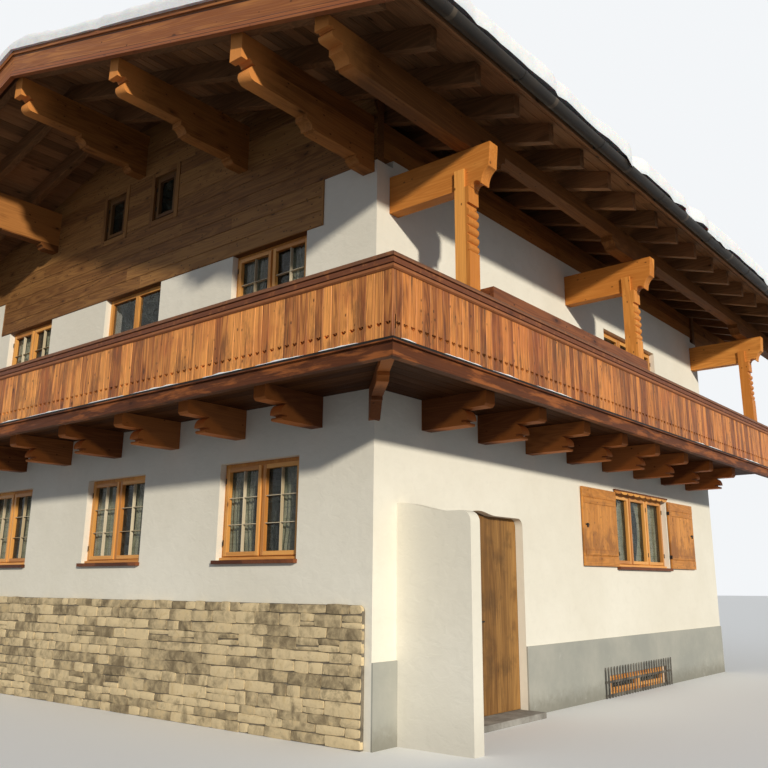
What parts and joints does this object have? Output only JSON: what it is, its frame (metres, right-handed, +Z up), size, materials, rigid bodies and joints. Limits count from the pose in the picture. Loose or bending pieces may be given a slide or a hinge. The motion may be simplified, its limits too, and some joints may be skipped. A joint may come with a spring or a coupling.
{
  "type": "alpine chalet",
  "caption": "Alpine chalet with rendered walls, a boarded timber gable, a carved wraparound balcony and a wide low roof on purlins; the entrance door leaves swing.",
  "frame": {"origin": "middle of the plan on the lowest ground, under the ridge", "axes": "+X out through the long wall with the entrance, +Y along the ridge from the front gable to the rear gable, +Z up"},
  "size_m": [14.016, 14.828, 8.8459],
  "materials": {
    "lime_render": "matt cream lime render on masonry",
    "coursed_stone": "rough coursed natural stone",
    "painted_plinth": "matt grey-green painted render",
    "paving_stone": "worn natural stone",
    "gable_cladding": "sun-browned larch boards",
    "carved_timber": "oiled spruce beams",
    "roof_timber": "dark stained spruce",
    "balcony_timber": "weathered red-brown larch boards",
    "floor_timber": "planed spruce boards",
    "door_boards": "oiled oak boards",
    "joinery_wood": "varnished spruce",
    "roof_tiles": "matt dark clay tiles",
    "gutter_metal": "dark brown coated sheet",
    "wrought_iron": "black painted iron",
    "window_glass": "clear"
  },
  "bodies": {
    "root": {"ground_floor": "paving_stone", "upper_floor": "floor_timber", "attic_floor": "floor_timber", "front_wall": "lime_render", "rear_wall": "lime_render", "left_wall": "lime_render", "right_wall_corner": "lime_render", "right_wall_over_door": "lime_render", "right_wall": "lime_render", "stone_base": "coursed_stone", "plinth": "painted_plinth", "wing_wall": "lime_render", "door_step": "paving_stone", "door_pintles": "wrought_iron", "front_gable": "gable_cladding", "rear_gable": "gable_cladding", "ridge_purlin": "carved_timber", "middle_purlins": "carved_timber", "wall_plates": "carved_timber", "eave_purlins": "carved_timber", "purlin_corbels": "carved_timber", "bracket_beams": "carved_timber", "posts": "carved_timber", "rafters": "roof_timber", "roof_boards": "roof_timber", "roof_cover": "roof_tiles", "barge_boards": "balcony_timber", "eave_boards": "roof_timber", "gutters": "gutter_metal", "balcony_floor": "balcony_timber", "balcony_joists": "balcony_timber", "balcony_fascia": "balcony_timber", "parapet_front": "balcony_timber", "parapet_right": "balcony_timber", "parapet_left": "balcony_timber", "handrail": "balcony_timber", "flower_box": "balcony_timber", "balcony_door": "joinery_wood", "window_frames": "joinery_wood", "window_glass": "window_glass", "window_sills": "balcony_timber", "shutters": "joinery_wood", "cellar_grille": "wrought_iron"},
    "door_near": {"door_leaf_near": "door_boards"},
    "door_far": {"door_leaf_far": "door_boards"}
  },
  "joints": [
    {"name": "door_near_hinge", "type": "hinge", "parent": "root", "child": "door_near", "pos_m": [4.6377, -4.198, 1.2], "axis": [0, 0, 1], "range_deg": [0, 90]},
    {"name": "door_far_hinge", "type": "hinge", "parent": "root", "child": "door_far", "pos_m": [4.6377, -2.102, 1.2], "axis": [0, 0, -1], "range_deg": [0, 90]}
  ]
}
